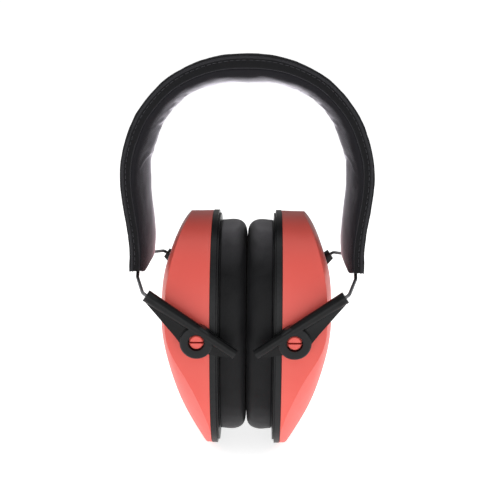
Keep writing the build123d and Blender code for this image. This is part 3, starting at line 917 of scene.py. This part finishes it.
def even_oval(half_depth, top, low, power, count):
    """The same oval with evenly spaced points."""
    points = oval(half_depth, top, low, power, np.linspace(0, 2 * math.pi, 2000))
    run = run_length(points)
    stops = np.linspace(0, run[-1], count, endpoint=False)
    return np.stack([np.interp(stops, run, points[:, 0]), np.interp(stops, run, points[:, 1])], -1)


def make_cushion(side):
    sign = SIGN[side]
    low_corner, high_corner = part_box("ear_cushion_skin_" + side)
    outline = even_oval((high_corner[1] - low_corner[1]) / 2 / MM - CUSHION_INSET,
                        high_corner[2] / MM - CUSHION_INSET, low_corner[2] / MM + CUSHION_INSET,
                        2.3, CUSHION_POINTS)
    hole_top, hole_low = LIFT / MM + HOLE_TOP, LIFT / MM + HOLE_LOW
    hole_middle = (hole_top + hole_low) / 2
    hole_half_height = (HOLE_TOP - HOLE_LOW) / 2
    section = [(share, height * (CUSHION_BACK - 0.05) / SECTION_HEIGHT)
               for share, height in SECTION]
    verts, uvs = [], []
    for i, outer in enumerate(outline):
        # matching point of the hole: same direction from its middle
        y, z = outer
        angle = math.atan2((z - hole_middle) / hole_half_height, y / HOLE_HALF_DEPTH)
        inner = oval(HOLE_HALF_DEPTH, hole_top, hole_low, 2.2, np.array([angle]))[0]
        across = inner - outer
        for k, (share, height) in enumerate(section):
            point = outer + across * share
            verts.append((sign * (CUSHION_BACK - height) * MM, point[0] * MM, point[1] * MM))
            uvs.append((i * 2.0 * MM, k * 1.3 * MM))
    faces = ring_faces(CUSHION_POINTS, len(section), wrap=True)
    skin = make_object("ear_cushion_leatherette_" + side, verts, faces, SKIN, uvs)
    height = CUSHION_BACK * MM - np.abs(positions(skin.data)[:, 0])
    pin = np.clip(1 - height / (2.5 * MM), 0, 1)
    cloth_inflate(skin, pressure=4.0, max_travel=0.0009, pin=pin)
    displace_soft(skin, amount=0.22 * MM, scale=120.0, seed=2.0 if side == "left" else 9.0,
                  mask=np.clip(height / 0.004, 0, 1))
    for vertex in skin.data.vertices:
        if vertex.co.x * sign < FLAT_FACE:
            vertex.co.x = sign * FLAT_FACE
    skin.data.update()
    apply_subdivision(skin)
    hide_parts("ear_cushion_skin_" + side, "ear_cushion_foam_" + side)
    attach(skin, "cup_" + side)


for side in SIGN:
    make_cushion(side)


# ------------------------------------------------------------------ floor and world
def pale_floor():
    sh = Shader("pale_floor")
    mottle = sh.noise(sh.coords(), scale=3.0, detail=2.0)
    return sh.finish({
        "Base Color": sh.mask(mottle, (0.3, 0.93), (0.7, 0.95)),
        "Roughness": 0.95,
        "Specular IOR Level": 0.0,
        "Emission Color": (1.0, 1.0, 1.0, 1.0),
        "Emission Strength": 0.76,
    })


bpy.ops.mesh.primitive_plane_add(size=6.0, location=(0, 0, REST[0][2] - 0.0002))
floor = bpy.context.object
floor.name = "studio_floor"
floor.data.materials.append(pale_floor())

# the background is white to the camera, and a softer white to the object
WORLD_LIGHT = 0.42
WORLD_SEEN = 1.05
world = bpy.data.worlds.new("studio")
bpy.context.scene.world = world
world.use_nodes = True
tree = world.node_tree
background = tree.nodes["Background"]
background.inputs[0].default_value = (1, 1, 1, 1)
light_path = tree.nodes.new("ShaderNodeLightPath")
level = tree.nodes.new("ShaderNodeMapRange")
tree.links.new(light_path.outputs["Is Camera Ray"], level.inputs[0])
level.inputs[3].default_value = WORLD_LIGHT     # To Min
level.inputs[4].default_value = WORLD_SEEN      # To Max
tree.links.new(level.outputs[0], background.inputs[1])
bpy.context.scene.view_settings.view_transform = "Standard"


# ------------------------------------------------------------------ lights
def area_light(name, place, target, size, power):
    """place is (x, y, z above the tilt axis); target is the height aimed at, from that axis."""
    light = bpy.data.lights.new(name, "AREA")
    light.shape = "RECTANGLE"
    light.size, light.size_y = size
    light.energy = power
    lamp = bpy.data.objects.new(name, light)
    bpy.context.scene.collection.objects.link(lamp)
    x, y, z = place
    location = Vector((x, y, z + LIFT))
    lamp.location = location
    aim = Vector((0, 0, target + LIFT)) - location
    lamp.rotation_euler = aim.to_track_quat("-Z", "Y").to_euler()


area_light("key_low_front", place=(0.05, -0.75, 0.06), target=-0.01, size=(0.9, 0.35), power=1.65)
area_light("top_soft", place=(0.0, -0.05, 0.9), target=0.05, size=(0.9, 0.9), power=2.6)
for side, sign in SIGN.items():
    area_light("rim_" + side, place=(sign * 0.7, 0.35, 0.25), target=0.03, size=(0.4, 0.9),
               power=0.95)

# ------------------------------------------------------------------ camera
CAMERA_DISTANCE = 0.40412
CAMERA_ELEVATION = math.radians(12.55)
CAMERA_TURN = math.radians(0.62)        # from the front towards +X
CAMERA_ROLL = math.radians(0.4)
CAMERA_TARGET = Vector((0.0012, 0, 0.03131 + LIFT))

to_camera = Vector((math.sin(CAMERA_TURN) * math.cos(CAMERA_ELEVATION),
                    -math.cos(CAMERA_TURN) * math.cos(CAMERA_ELEVATION),
                    math.sin(CAMERA_ELEVATION)))
lens = bpy.data.cameras.new("camera")
camera = bpy.data.objects.new("camera", lens)
bpy.context.scene.collection.objects.link(camera)
camera.location = CAMERA_TARGET + to_camera * CAMERA_DISTANCE
aim = (-to_camera).to_track_quat("-Z", "Y")
camera.rotation_euler = (aim @ Quaternion((0, 0, 1), CAMERA_ROLL)).to_euler()
lens.sensor_width = 36.0
lens.lens = 62.22
lens.clip_start = 0.01
lens.clip_end = 20.0
bpy.context.scene.camera = camera
